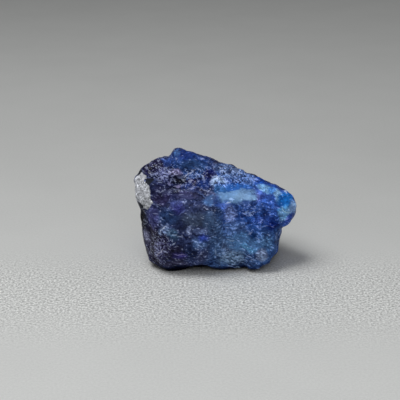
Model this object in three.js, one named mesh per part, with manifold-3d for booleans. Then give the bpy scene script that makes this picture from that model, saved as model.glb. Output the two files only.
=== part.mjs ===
// A rough afghanite specimen: one broken stone of deep blue afghanite with a cap of white calcite on its left end.
// Millimetres, +Z up. The stone rests on its flat broken foot at z = 0. +X runs along its length, from the calcite
// end to the blunt beak, and -Y is its show side. The origin is the middle of its footprint.
//
// The stone is three blocks that grew together. Each block is bounded by broken faces, each given by the way that it
// looks and its reach from the block's middle. Lumps, hollows, cracks, ledges and a hackly roughness are then worked
// into the surface. All of this is one field, negative inside the stone, whose surface is meshed on a grid.

import * as THREE from "three";
import { ImprovedNoise } from "three/addons/math/ImprovedNoise.js";
import { mergeVertices } from "three/addons/utils/BufferGeometryUtils.js";
import Module from "manifold-3d";

const GRID_STEP = 0.55; // of the grid that the surface is meshed on
const GRID_LOW = new THREE.Vector3(-12.5, -8, -1.5);
const GRID_HIGH = new THREE.Vector3(12.5, 10.5, 16.5);
const SEAL_DEPTH = 0.05; // given to the corners of a grid cell that is filled

const EDGE_ROUNDING = 0.5; // where two faces of a block meet
const JOIN_ROUNDING = 0.6; // where two blocks meet
const LUMP_BLEND = 1.2;
const HOLLOW_BLEND = 0.8;

const LEDGE_SPACING = 1.35;
const LEDGE_DEPTH = 0.42;
const LEDGE_TREAD = 0.78; // share of a ledge that is its tread, the rest is its riser
const LEDGE_WOBBLE = 0.6;
const LEDGE_WOBBLE_SIZE = 4.3;
const LEDGES_FROM = 7.5; // the height from which the ledges deepen, up to LEDGES_FULL
const LEDGES_FULL = 10.5;
const FAINT_LEDGES = 0.2; // their depth on the steep sides, as a share

const SWELL_SIZE = 4.4; // of the broad unevenness of the broken faces
const SWELL_HEIGHT = 0.35;
const FACET_SIZE = 2.6; // of the small flat facets that the broken faces are made of
const FACET_HEIGHT = 0.06; // how far one may stand out from the next
const FACET_TILT = 0.17; // how steeply one may lean

const CRACK_WANDER = 0.7;
const CRACK_WANDER_SIZE = 1.9;

// Azimuth 0 looks to the show side, 90 to the right and -90 to the left. Elevation is above the horizon.
function direction(azimuth, elevation) {
  const a = THREE.MathUtils.degToRad(azimuth);
  const e = THREE.MathUtils.degToRad(elevation);
  return new THREE.Vector3(Math.sin(a) * Math.cos(e), -Math.cos(a) * Math.cos(e), Math.sin(e));
}

const bedding = direction(70, 74); // the way that the layers of the stone look

const face = (name, azimuth, elevation, reach) => ({ name, normal: direction(azimuth, elevation), reach });

const body = {
  middle: new THREE.Vector3(0, 0, 7.4),
  faces: [
    face("foot", 0, -90, 8.6),
    face("show side, left", -14, 4, 6.5),
    face("show side, left foot", -20, -24, 9.0),
    face("show side, right", 24, -4, 5.4),
    face("calcite end", -90, -10, 9.95),
    face("calcite corner", -52, -8, 9.2),
    face("left foot corner", -70, -50, 10.85),
    face("left shoulder", -84, 57, 9.45),
    face("shoulder top", -90, 78, 7.75),
    face("violet slope", -14, 60, 4.6),
    face("glinting slope", 29, 57, 4.5),
    face("right end", 86, -10, 9.45),
    face("right foot corner", 70, -50, 10.4),
    face("back", 176, 6, 7.2),
    face("back left", -140, 14, 9.4),
    face("back right", 128, 4, 8.6),
    face("back slope", 168, 46, 7.7),
    face("back right slope", 130, 60, 6.0),
  ],
};

const knob = {
  middle: new THREE.Vector3(-3, 3, 12.5),
  faces: [
    face("step", -90, 40, 2.9),
    face("brow", -6, 33, 2.4),
    face("top", 124, 58, 1.5),
    face("rear", 180, 30, 2.9),
    face("right end", 90, 0, 5),
    face("root", 0, -90, 3.5),
  ],
};

const beak = {
  middle: new THREE.Vector3(7.5, -0.5, 7.6),
  faces: [
    face("tip", 86, 14, 3.8),
    face("ridge", 86, 46, 3.6),
    face("crest", 130, 60, 3.1),
    face("lip", 84, -34, 3.35),
    face("underside", 88, -47, 2.95),
    face("front", 8, 0, 3.2),
    face("front corner", 48, 0, 2.9),
    face("top front", 29, 57, 2.1),
    face("rear", 150, 10, 3.5),
    face("left root", -90, 0, 3.0),
    face("low root", 0, -90, 4.5),
  ],
};

// An ellipsoid that stands on the stone or is cut into it.
const form = (name, middle, radii) => ({
  name,
  middle: new THREE.Vector3(...middle),
  radii: new THREE.Vector3(...radii),
});

const lumps = [
  form("boss above the left foot", [-5.4, -4.6, 3.2], [2.8, 1.7, 2.6]),
  form("boss above the right foot", [4.6, -3.2, 3.4], [3.0, 1.5, 2.4]),
  form("calcite cap", [-8.0, -1.4, 9.8], [2.4, 3.0, 2.5]),
];

const hollows = [
  form("arch between the feet", [-1.2, -5.6, -0.3], [3.6, 2.4, 1.0]),
  form("notch beside the knob", [-6.9, 3.2, 14.3], [1.5, 3.0, 0.9]),
  form("scoop under the pale ledge", [4.8, -5.2, 8.1], [2.7, 1.6, 1.2]),
  form("scoop in the back", [-3.5, 10.2, 8.5], [5.0, 3.4, 4.2]),
  form("chip in the back right", [7.6, 6.2, 3.6], [3.2, 2.6, 2.8]),
];

// A crack runs through places given by their X and Z, and is worked into the show side in front of CRACKS_BEHIND.
const CRACKS_BEHIND = 2.5;
const crack = (name, width, depth, places) => ({
  name,
  width,
  depth,
  legs: places.slice(1).map((end, n) => {
    const [from, to] = [places[n], end].map(([x, z]) => new THREE.Vector3(x, 0, z));
    return new THREE.Line3(from, to);
  }),
});

const cracks = [
  crack("seam between the dark and the blue half", 0.4, 0.2, [
    [-0.4, 13.3],
    [-0.1, 11.9],
    [0.6, 10.5],
    [1.0, 8.8],
    [0.6, 4.9],
    [0.6, 1.5],
  ]),
  crack("crevice under the upper bench", 0.4, 0.45, [
    [-8.2, 11.3],
    [-5.8, 11.2],
    [-4.9, 11.7],
    [-2.7, 12.0],
  ]),
  crack("crevice in the dark bands", 0.35, 0.35, [
    [-6.6, 10.4],
    [-4.0, 10.0],
    [-1.6, 10.3],
  ]),
  crack("crack under the calcite", 0.5, 0.45, [
    [-11.5, 8.4],
    [-9.6, 8.2],
    [-7.6, 8.6],
  ]),
  crack("crack beside the calcite", 0.35, 0.35, [
    [-7.6, 8.6],
    [-7.8, 10.4],
    [-9.0, 11.6],
  ]),
];

// The larger and the smaller of two fields, rounded over a width where they are about equal.
function roundedMax(a, b, width) {
  const near = Math.max(width - Math.abs(a - b), 0) / width;
  return Math.max(a, b) + (near * near * width) / 4;
}

const roundedMin = (a, b, width) => -roundedMax(-a, -b, width);

const offset = new THREE.Vector3();
const nearest = new THREE.Vector3();

function blockField({ middle, faces }, point) {
  offset.subVectors(point, middle);
  return faces
    .map(({ normal, reach }) => normal.dot(offset) - reach)
    .reduce((a, b) => roundedMax(a, b, EDGE_ROUNDING));
}

function formField({ middle, radii }, point) {
  offset.subVectors(point, middle).divide(radii);
  return (offset.length() - 1) * Math.min(...radii.toArray());
}

function crackField({ width, depth, legs }, point) {
  if (point.y > CRACKS_BEHIND) return 0;
  const wander = CRACK_WANDER * noise(point, CRACK_WANDER_SIZE);
  offset.set(point.x + wander, 0, point.z + wander);
  const distances = legs.map((leg) => leg.closestPointToPoint(offset, true, nearest).distanceTo(offset));
  return depth * Math.exp(-((Math.min(...distances) / width) ** 2));
}

const NEIGHBOURS = [-1, 0, 1].flatMap((i) => [-1, 0, 1].flatMap((j) => [-1, 0, 1].map((k) => [i, j, k])));

const perlin = new ImprovedNoise();
const noise = (point, size) => perlin.noise(point.x / size, point.y / size, point.z / size);

const facetSeeds = new Map();

function facetSeed(i, j, k) {
  const key = `${i},${j},${k}`;
  if (!facetSeeds.has(key)) {
    THREE.MathUtils.seededRandom((i * 73856093) ^ (j * 19349663) ^ (k * 83492791));
    const random = () => new THREE.Vector3(...[0, 0, 0].map(() => THREE.MathUtils.seededRandom()));
    facetSeeds.set(key, { place: random().add({ x: i, y: j, z: k }), lean: random().subScalar(0.5), out: random().x - 0.5 });
  }
  return facetSeeds.get(key);
}

// Flat facets around the seeds of a jittered grid, each with its own height and lean.
function facetField(point) {
  const scaled = offset.copy(point).divideScalar(FACET_SIZE);
  const [i, j, k] = scaled.clone().floor().toArray();
  const around = NEIGHBOURS.map(([di, dj, dk]) => facetSeed(i + di, j + dj, k + dk));
  const distances = around.map(({ place }) => place.distanceToSquared(scaled));
  const { place, lean, out } = around[distances.indexOf(Math.min(...distances))];
  return 2 * FACET_HEIGHT * out + 2 * FACET_TILT * FACET_SIZE * lean.dot(scaled.sub(place));
}

// Sawtooth ledges where the layers of the stone break off one after another.
function ledgeField(point) {
  const height = bedding.dot(point) + LEDGE_WOBBLE * noise(point, LEDGE_WOBBLE_SIZE);
  const share = THREE.MathUtils.euclideanModulo(height / LEDGE_SPACING, 1);
  const rise = share < LEDGE_TREAD ? share / LEDGE_TREAD : (1 - share) / (1 - LEDGE_TREAD);
  const upper = THREE.MathUtils.smoothstep(point.z, LEDGES_FROM, LEDGES_FULL);
  return (0.5 - rise) * LEDGE_DEPTH * THREE.MathUtils.lerp(FAINT_LEDGES, 1, upper);
}

function stoneField(point) {
  let value = [body, knob, beak]
    .map((block) => blockField(block, point))
    .reduce((a, b) => roundedMin(a, b, JOIN_ROUNDING));
  for (const lump of lumps) value = roundedMin(value, formField(lump, point), LUMP_BLEND);
  for (const hollow of hollows) value = roundedMax(value, -formField(hollow, point), HOLLOW_BLEND);
  for (const line of cracks) value += crackField(line, point);
  return value + ledgeField(point) + facetField(point) + SWELL_HEIGHT * noise(point, SWELL_SIZE);
}

const CORNERS = [0, 1, 2, 3, 4, 5, 6, 7].map((n) => [n & 1, (n >> 1) & 1, n >> 2]);
const CELL_EDGES = CORNERS.flatMap((_, n) => [1, 2, 4].filter((bit) => !(n & bit)).map((bit) => [n, n | bit]));

// Whether the surface crosses a cell as one sheet: then its corners that are in hang together along the cell's edges,
// and so do its corners that are out.
function isOneSheet(inside) {
  let parts = CORNERS.map((_, n) => n);
  for (const [a, b] of CELL_EDGES) {
    if (inside[a] === inside[b]) parts = parts.map((part) => (part === parts[b] ? parts[a] : part));
  }
  return new Set(parts).size <= 2;
}

// The surface where a field is zero, as surface nets: one vertex in each grid cell that the surface crosses, and a
// square across each grid edge that it crosses, between the four cells around that edge. A cell that it would cross
// as two sheets is filled first, so that they can't touch.
function meshField(field, low, high, step) {
  const counts = high.clone().sub(low).divideScalar(step).ceil().toArray();
  const strides = [1, counts[0], counts[0] * counts[1]];
  const indexOf = (i, j, k) => i + j * strides[1] + k * strides[2];
  const placeOf = (i, j, k) => new THREE.Vector3(i, j, k).multiplyScalar(step).add(low);
  const forEach = (ends, visit) => {
    for (let k = 0; k < ends[2]; k++) {
      for (let j = 0; j < ends[1]; j++) {
        for (let i = 0; i < ends[0]; i++) visit(i, j, k);
      }
    }
  };
  const values = new Float64Array(counts[0] * counts[1] * counts[2]);
  forEach(counts, (i, j, k) => {
    values[indexOf(i, j, k)] = field(placeOf(i, j, k));
  });

  const sharp = values.slice();
  forEach(counts, (i, j, k) => {
    if ([i, j, k].some((index, axis) => index === 0 || index === counts[axis] - 1)) return;
    const at = indexOf(i, j, k);
    const around = strides.flatMap((stride) => [sharp[at - stride], sharp[at + stride]]);
    values[at] = (sharp[at] + around.reduce((a, b) => a + b) / around.length) / 2;
  });

  const cells = counts.map((count) => count - 1);
  const cornersOf = (i, j, k) => CORNERS.map(([di, dj, dk]) => indexOf(i + di, j + dj, k + dk));
  let filling = true;
  while (filling) {
    filling = false;
    forEach(cells, (i, j, k) => {
      const corners = cornersOf(i, j, k);
      if (isOneSheet(corners.map((corner) => values[corner] < 0))) return;
      for (const corner of corners) values[corner] = Math.min(values[corner], -SEAL_DEPTH);
      filling = true;
    });
  }

  const vertexOf = new Map();
  const positions = [];
  forEach(cells, (i, j, k) => {
    const found = cornersOf(i, j, k).map((corner) => values[corner]);
    const crossed = CELL_EDGES.filter(([a, b]) => found[a] < 0 !== found[b] < 0);
    if (!crossed.length) return;
    const vertex = new THREE.Vector3();
    for (const [a, b] of crossed) {
      const start = new THREE.Vector3(...CORNERS[a]);
      vertex.add(start.lerp(new THREE.Vector3(...CORNERS[b]), found[a] / (found[a] - found[b])));
    }
    vertex.multiplyScalar(step / crossed.length).add(placeOf(i, j, k));
    vertexOf.set(indexOf(i, j, k), positions.length / 3);
    positions.push(...vertex);
  });

  const triangles = [];
  forEach(cells, (i, j, k) => {
    const at = indexOf(i, j, k);
    for (const axis of [0, 1, 2]) {
      const inside = values[at] < 0;
      if (inside === values[at + strides[axis]] < 0) continue;
      const [u, v] = [strides[(axis + 1) % 3], strides[(axis + 2) % 3]];
      const [a, b, c, d] = [at, at - u, at - u - v, at - v].map((cell) => vertexOf.get(cell));
      triangles.push(...(inside ? [a, b, c, a, c, d] : [a, c, b, a, d, c]));
    }
  });
  return new THREE.BufferGeometry()
    .setAttribute("position", new THREE.Float32BufferAttribute(positions, 3))
    .setIndex(triangles);
}

const wasm = await Module();
wasm.setup();

function solidOf(geometry) {
  const vertProperties = geometry.getAttribute("position").array;
  return new wasm.Manifold(new wasm.Mesh({ numProp: 3, vertProperties, triVerts: new Uint32Array(geometry.index.array) }));
}

function geometryOf(solid) {
  const { vertProperties, triVerts } = solid.getMesh();
  return new THREE.BufferGeometry()
    .setAttribute("position", new THREE.Float32BufferAttribute(vertProperties, 3))
    .setIndex(new THREE.Uint32BufferAttribute(triVerts, 1));
}

// Cuts the solid off flat at z = 0 and drops any crumb that the cut parts from it.
function cutFoot(solid) {
  const span = 2 * (GRID_HIGH.x - GRID_LOW.x);
  const ground = new THREE.BoxGeometry(span, span, span).translate(0, 0, -span / 2);
  ground.deleteAttribute("normal");
  ground.deleteAttribute("uv");
  const pieces = solid.subtract(solidOf(mergeVertices(ground))).decompose();
  return pieces.reduce((a, b) => (a.volume() > b.volume() ? a : b));
}

function stoneGeometry() {
  const surface = meshField(stoneField, GRID_LOW, GRID_HIGH, GRID_STEP);
  const geometry = geometryOf(cutFoot(solidOf(surface)));
  geometry.computeBoundingBox();
  const middle = geometry.boundingBox.getCenter(new THREE.Vector3());
  return geometry.translate(-middle.x, -middle.y, 0);
}

const stoneMaterial = new THREE.MeshStandardMaterial({ color: 0x2c4a92, roughness: 0.45, metalness: 0 });

const stone = new THREE.Mesh(stoneGeometry(), stoneMaterial);
stone.name = "afghanite_stone";

const specimen = new THREE.Group();
specimen.add(stone);

export default specimen;
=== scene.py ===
"""A rough piece of deep blue afghanite with white calcite on its left end, standing on a pale studio floor.

The solid of the stone comes from the frame. Here it gets its fine broken surface, its colours and its gloss.
Lengths that are named in millimetres are turned into metres where they are used.
"""

import math

import bmesh
import bpy
from bpy.props import FloatProperty, FloatVectorProperty, PointerProperty
from bpy.types import Operator, Panel, PropertyGroup
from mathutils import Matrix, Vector


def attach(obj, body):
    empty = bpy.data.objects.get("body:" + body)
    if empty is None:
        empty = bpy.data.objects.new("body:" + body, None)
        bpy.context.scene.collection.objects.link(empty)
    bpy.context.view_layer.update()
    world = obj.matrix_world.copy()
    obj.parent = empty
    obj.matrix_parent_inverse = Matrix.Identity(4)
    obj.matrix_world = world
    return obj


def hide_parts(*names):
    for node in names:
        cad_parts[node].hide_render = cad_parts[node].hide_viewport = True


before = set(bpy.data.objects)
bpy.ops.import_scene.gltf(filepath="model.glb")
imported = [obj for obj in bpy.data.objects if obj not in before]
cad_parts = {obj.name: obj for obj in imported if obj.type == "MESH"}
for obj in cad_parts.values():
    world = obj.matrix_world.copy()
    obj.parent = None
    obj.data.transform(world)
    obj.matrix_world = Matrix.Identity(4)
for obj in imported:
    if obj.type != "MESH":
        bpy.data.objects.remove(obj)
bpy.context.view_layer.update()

bl_info = {
    "name": "Afghanite Specimen",
    "version": (1, 0, 0),
    "blender": (4, 5, 0),
    "location": "3D View > Sidebar > Specimen",
    "description": "Builds the fine surface and the colours of an afghanite specimen, and its studio",
    "category": "Add Mesh",
}

MM = 0.001
STONE_NODE = "afghanite_stone"
BODY = "root"

# Corners of the CAD mesh that are closer than this are one corner.
JOIN_DISTANCE = 0.0005 * MM

# How much of the fine relief is left where nothing glitters.
CALM_RELIEF = 0.3

# The foot is drawn in up to this many times the height over which the relief fades in above the floor.
TUCK_REACH = 2.5

# The middling distance from a place to the nearest point of a Voronoi texture, measured along the axes.
MIDDLING_DISTANCE = 0.6

# The middle of noise and of the random colour of a cell, which both run from 0 to 1.
HALF = 0.5

# The layers of the stone lean down to the right. This is the way that they look.
LAYER_AZIMUTH = math.radians(70)
LAYER_RISE = math.radians(74)
LAYER_NORMAL = Vector(
    (
        math.sin(LAYER_AZIMUTH) * math.cos(LAYER_RISE),
        -math.cos(LAYER_AZIMUTH) * math.cos(LAYER_RISE),
        math.sin(LAYER_RISE),
    )
)


def colour(code):
    """The linear colour, with alpha, of a hex code as a monitor shows it."""
    shown = [int(code[n : n + 2], 16) / 255 for n in (1, 3, 5)]
    return (*[v / 12.92 if v <= 0.04045 else ((v + 0.055) / 1.055) ** 2.4 for v in shown], 1.0)


class Wiring:
    """Adds nodes to a node tree.

    An input that is given a socket is linked to it, and any other value is set.
    """

    def __init__(self, tree):
        self.tree = tree

    def put(self, value, socket):
        if isinstance(value, bpy.types.NodeSocket):
            self.tree.links.new(value, socket)
        elif value is not None:
            socket.default_value = value

    def node(self, kind, inputs=None, **settings):
        node = self.tree.nodes.new(kind)
        for name, value in settings.items():
            setattr(node, name, value)
        for key, value in (inputs or {}).items():
            self.put(value, node.inputs[key])
        return node

    def maths(self, operation, *values):
        return self.node("ShaderNodeMath", dict(enumerate(values)), operation=operation).outputs[0]

    def vectors(self, operation, *values):
        inputs = dict(enumerate(values))
        return self.node("ShaderNodeVectorMath", inputs, operation=operation).outputs["Vector"]

    def scaled(self, vector, factor):
        inputs = {0: vector, "Scale": factor}
        return self.node("ShaderNodeVectorMath", inputs, operation="SCALE").outputs["Vector"]

    def dot(self, a, b):
        return self.node("ShaderNodeVectorMath", {0: a, 1: b}, operation="DOT_PRODUCT").outputs["Value"]

    def length(self, vector):
        return self.node("ShaderNodeVectorMath", {0: vector}, operation="LENGTH").outputs["Value"]

    def ramp(self, value, low, high, to_low=0.0, to_high=1.0, smooth=True):
        """Maps a value from one range to another and holds it there."""
        inputs = {0: value, 1: low, 2: high, 3: to_low, 4: to_high}
        kind = "SMOOTHSTEP" if smooth else "LINEAR"
        return self.node("ShaderNodeMapRange", inputs, interpolation_type=kind).outputs[0]

    def between(self, share, at_none, at_all):
        """Goes evenly from one value to the other as a share goes from none to all."""
        return self.ramp(share, 0.0, 1.0, at_none, at_all, smooth=False)

    def per(self, size):
        """How many of a size make one, for a size that is a number or a socket."""
        return self.maths("DIVIDE", 1.0, size) if isinstance(size, bpy.types.NodeSocket) else 1 / size

    def noise(self, place, size, detail=3.0, roughness=0.55, coloured=False):
        """Noise whose lumps are about as large as size."""
        inputs = {"Vector": place, "Scale": self.per(size), "Detail": detail, "Roughness": roughness}
        return self.node("ShaderNodeTexNoise", inputs).outputs["Color" if coloured else 0]

    def cells(self, place, size, **settings):
        """The outputs of Voronoi cells about as large as size."""
        inputs = {"Vector": place, "Scale": self.per(size)}
        return self.node("ShaderNodeTexVoronoi", inputs, **settings).outputs

    def mixed(self, factor, a, b, blend="MIX"):
        inputs = {0: factor, 6: a, 7: b}
        return self.node("ShaderNodeMix", inputs, data_type="RGBA", blend_type=blend).outputs[2]

    def split(self, vector):
        return self.node("ShaderNodeSeparateXYZ", {0: vector}).outputs


def new_group(name, kind, inputs, outputs):
    """A node group with its sockets and its two end nodes, as (wiring, sockets in, output node)."""
    tree = bpy.data.node_groups.new(name, kind)
    for label, sort, default in inputs:
        socket = tree.interface.new_socket(name=label, in_out="INPUT", socket_type=sort)
        if default is not None:
            socket.default_value = default
    for label, sort in outputs:
        tree.interface.new_socket(name=label, in_out="OUTPUT", socket_type=sort)
    wiring = Wiring(tree)
    return wiring, wiring.node("NodeGroupInput").outputs, wiring.node("NodeGroupOutput")


def placed(wiring, group, **inputs):
    """Places a node group with its own values and gives its first output."""
    kind = "GeometryNodeGroup" if group.bl_idname == GEOMETRY else "ShaderNodeGroup"
    node = wiring.node(kind, node_tree=group)
    for name, value in inputs.items():
        wiring.put(value, node.inputs[name.replace("_", " ").title()])
    return node.outputs[0]


FLOAT = "NodeSocketFloat"
VECTOR = "NodeSocketVector"
GEOMETRY = "GeometryNodeTree"
SHADER = "ShaderNodeTree"


# ---------------------------------------------------------- the zones

# The zones below are ellipsoids in the stone. Each has its name, its middle and half its length, depth and
# height in millimetres, and how far it leans down to the right in degrees. What else it has comes after.

# Small swellings and hollows, with how far they stand out in millimetres.
SWELLINGS = (
    ("left rim of the knob", (-5.5, 3.2, 14.0), (1.0, 3.0, 0.9), 0, 0.4),
    ("corner beside the knob", (-6.3, 3.6, 13.3), (0.5, 2.5, 0.5), 0, -0.15),
    ("violet black shoulder", (-9.0, 1.6, 12.7), (1.7, 3.0, 1.0), 0, 0.25),
    ("upper edge of the calcite", (-10.7, -0.6, 10.4), (0.8, 2.5, 0.8), 0, 0.22),
    ("lower edge of the calcite", (-10.8, -1.6, 9.3), (0.8, 2.5, 0.8), 0, -0.1),
    ("left flank", (-9.4, -2.2, 3.2), (1.4, 3.2, 3.0), 0, 0.3),
    ("left foot", (-7.0, -5.2, 0.8), (2.6, 2.0, 1.0), 0, 0.15),
    ("undercut of the left front", (-3.8, -7.0, 1.0), (4.2, 2.2, 1.5), 0, -0.5),
    ("right flank", (8.4, -0.6, 2.6), (1.4, 3.4, 2.0), 0, 0.24),
    ("right foot", (6.4, -5.0, 1.8), (2.4, 1.7, 1.6), 0, 1.1),
    ("front of the right foot", (3.0, -4.9, 0.5), (3.2, 1.8, 1.3), 0, 0.55),
    ("notch under the beak", (8.9, -1.6, 4.6), (0.7, 3.0, 0.7), 0, -0.25),
    ("lower edge of the beak", (10.1, -2.0, 6.3), (1.0, 2.6, 1.0), -40, 0.25),
    ("tip of the beak", (10.8, -0.6, 7.2), (0.7, 2.2, 0.8), 0, 0.1),
    ("edge of the slope", (4.0, 3.0, 11.2), (2.0, 4.5, 0.9), 30, 0.22),
    ("edge behind the white ledge", (1.4, 2.0, 13.1), (1.3, 4.0, 0.6), 10, -0.15),
    ("under the ledge at the back", (-7.7, 5.2, 8.2), (2.0, 1.8, 1.4), 0, 0.8),
    ("corner of the ledge at the back", (-8.6, 6.8, 9.5), (1.4, 1.4, 0.9), 0, -0.15),
    ("over the ledge at the back", (-8.0, 6.2, 10.8), (1.8, 1.8, 0.8), 0, 0.5),
    ("hollow under the pale window", (3.6, -4.9, 9.1), (2.2, 1.2, 0.7), 0, -0.15),
    ("dark hollow in the brow", (-5.2, -1.6, 11.6), (0.9, 0.8, 0.45), 0, -0.25),
)

# Gaps between the floor and the rim of the foot, with their height in millimetres.
GAPS = (
    ("gap under the front", (-0.6, -5.6, 0.0), (4.8, 1.8, 5.0), 0, 0.22),
    ("gap under the right corner", (8.3, -4.4, 0.0), (3.0, 3.4, 5.0), 0, 0.9),
)

# Where fine crystals glitter, with how much.
GLITTER = (
    ("violet shoulder", (-7.0, -1.2, 12.1), (2.1, 1.8, 1.3), 0, 1.0),
    ("black shoulder", (-8.7, 0.8, 12.6), (1.4, 2.0, 0.9), 0, 0.7),
    ("brow", (-2.8, -1.4, 12.1), (1.9, 1.5, 0.9), 0, 0.6),
    ("dark bands", (-5.0, -3.2, 11.0), (2.8, 1.6, 0.7), 0, 0.35),
    ("corner of the bands", (-1.2, -4.0, 11.0), (1.0, 1.2, 0.6), 0, 0.35),
    ("white ledge", (0.4, -2.4, 11.9), (1.3, 1.2, 0.85), 0, 0.7),
    ("grey slope", (2.8, -0.9, 12.2), (3.2, 1.9, 1.2), 24, 0.9),
    ("blue slope", (6.0, -1.4, 10.9), (2.0, 1.4, 0.7), 20, 0.25),
    ("bright blue band", (2.6, -2.9, 11.2), (2.6, 1.0, 0.5), 6, 0.3),
    ("left corner", (-7.6, -6.2, 3.8), (1.7, 1.9, 2.5), 15, 0.75),
    ("pale spots of the left front", (-4.6, -6.9, 6.3), (3.4, 1.2, 0.9), 0, 0.35),
    ("glints under the window", (4.4, -4.8, 8.0), (0.8, 0.7, 0.25), 0, 1.0),
    ("royal blue", (4.9, -5.0, 7.8), (3.0, 1.2, 2.0), 0, 0.15),
    ("right foot", (3.0, -5.8, 2.4), (3.4, 1.4, 1.6), 0, 0.25),
    ("pale column", (9.0, -2.2, 9.6), (0.35, 0.8, 0.35), 0, 0.8),
)

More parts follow.
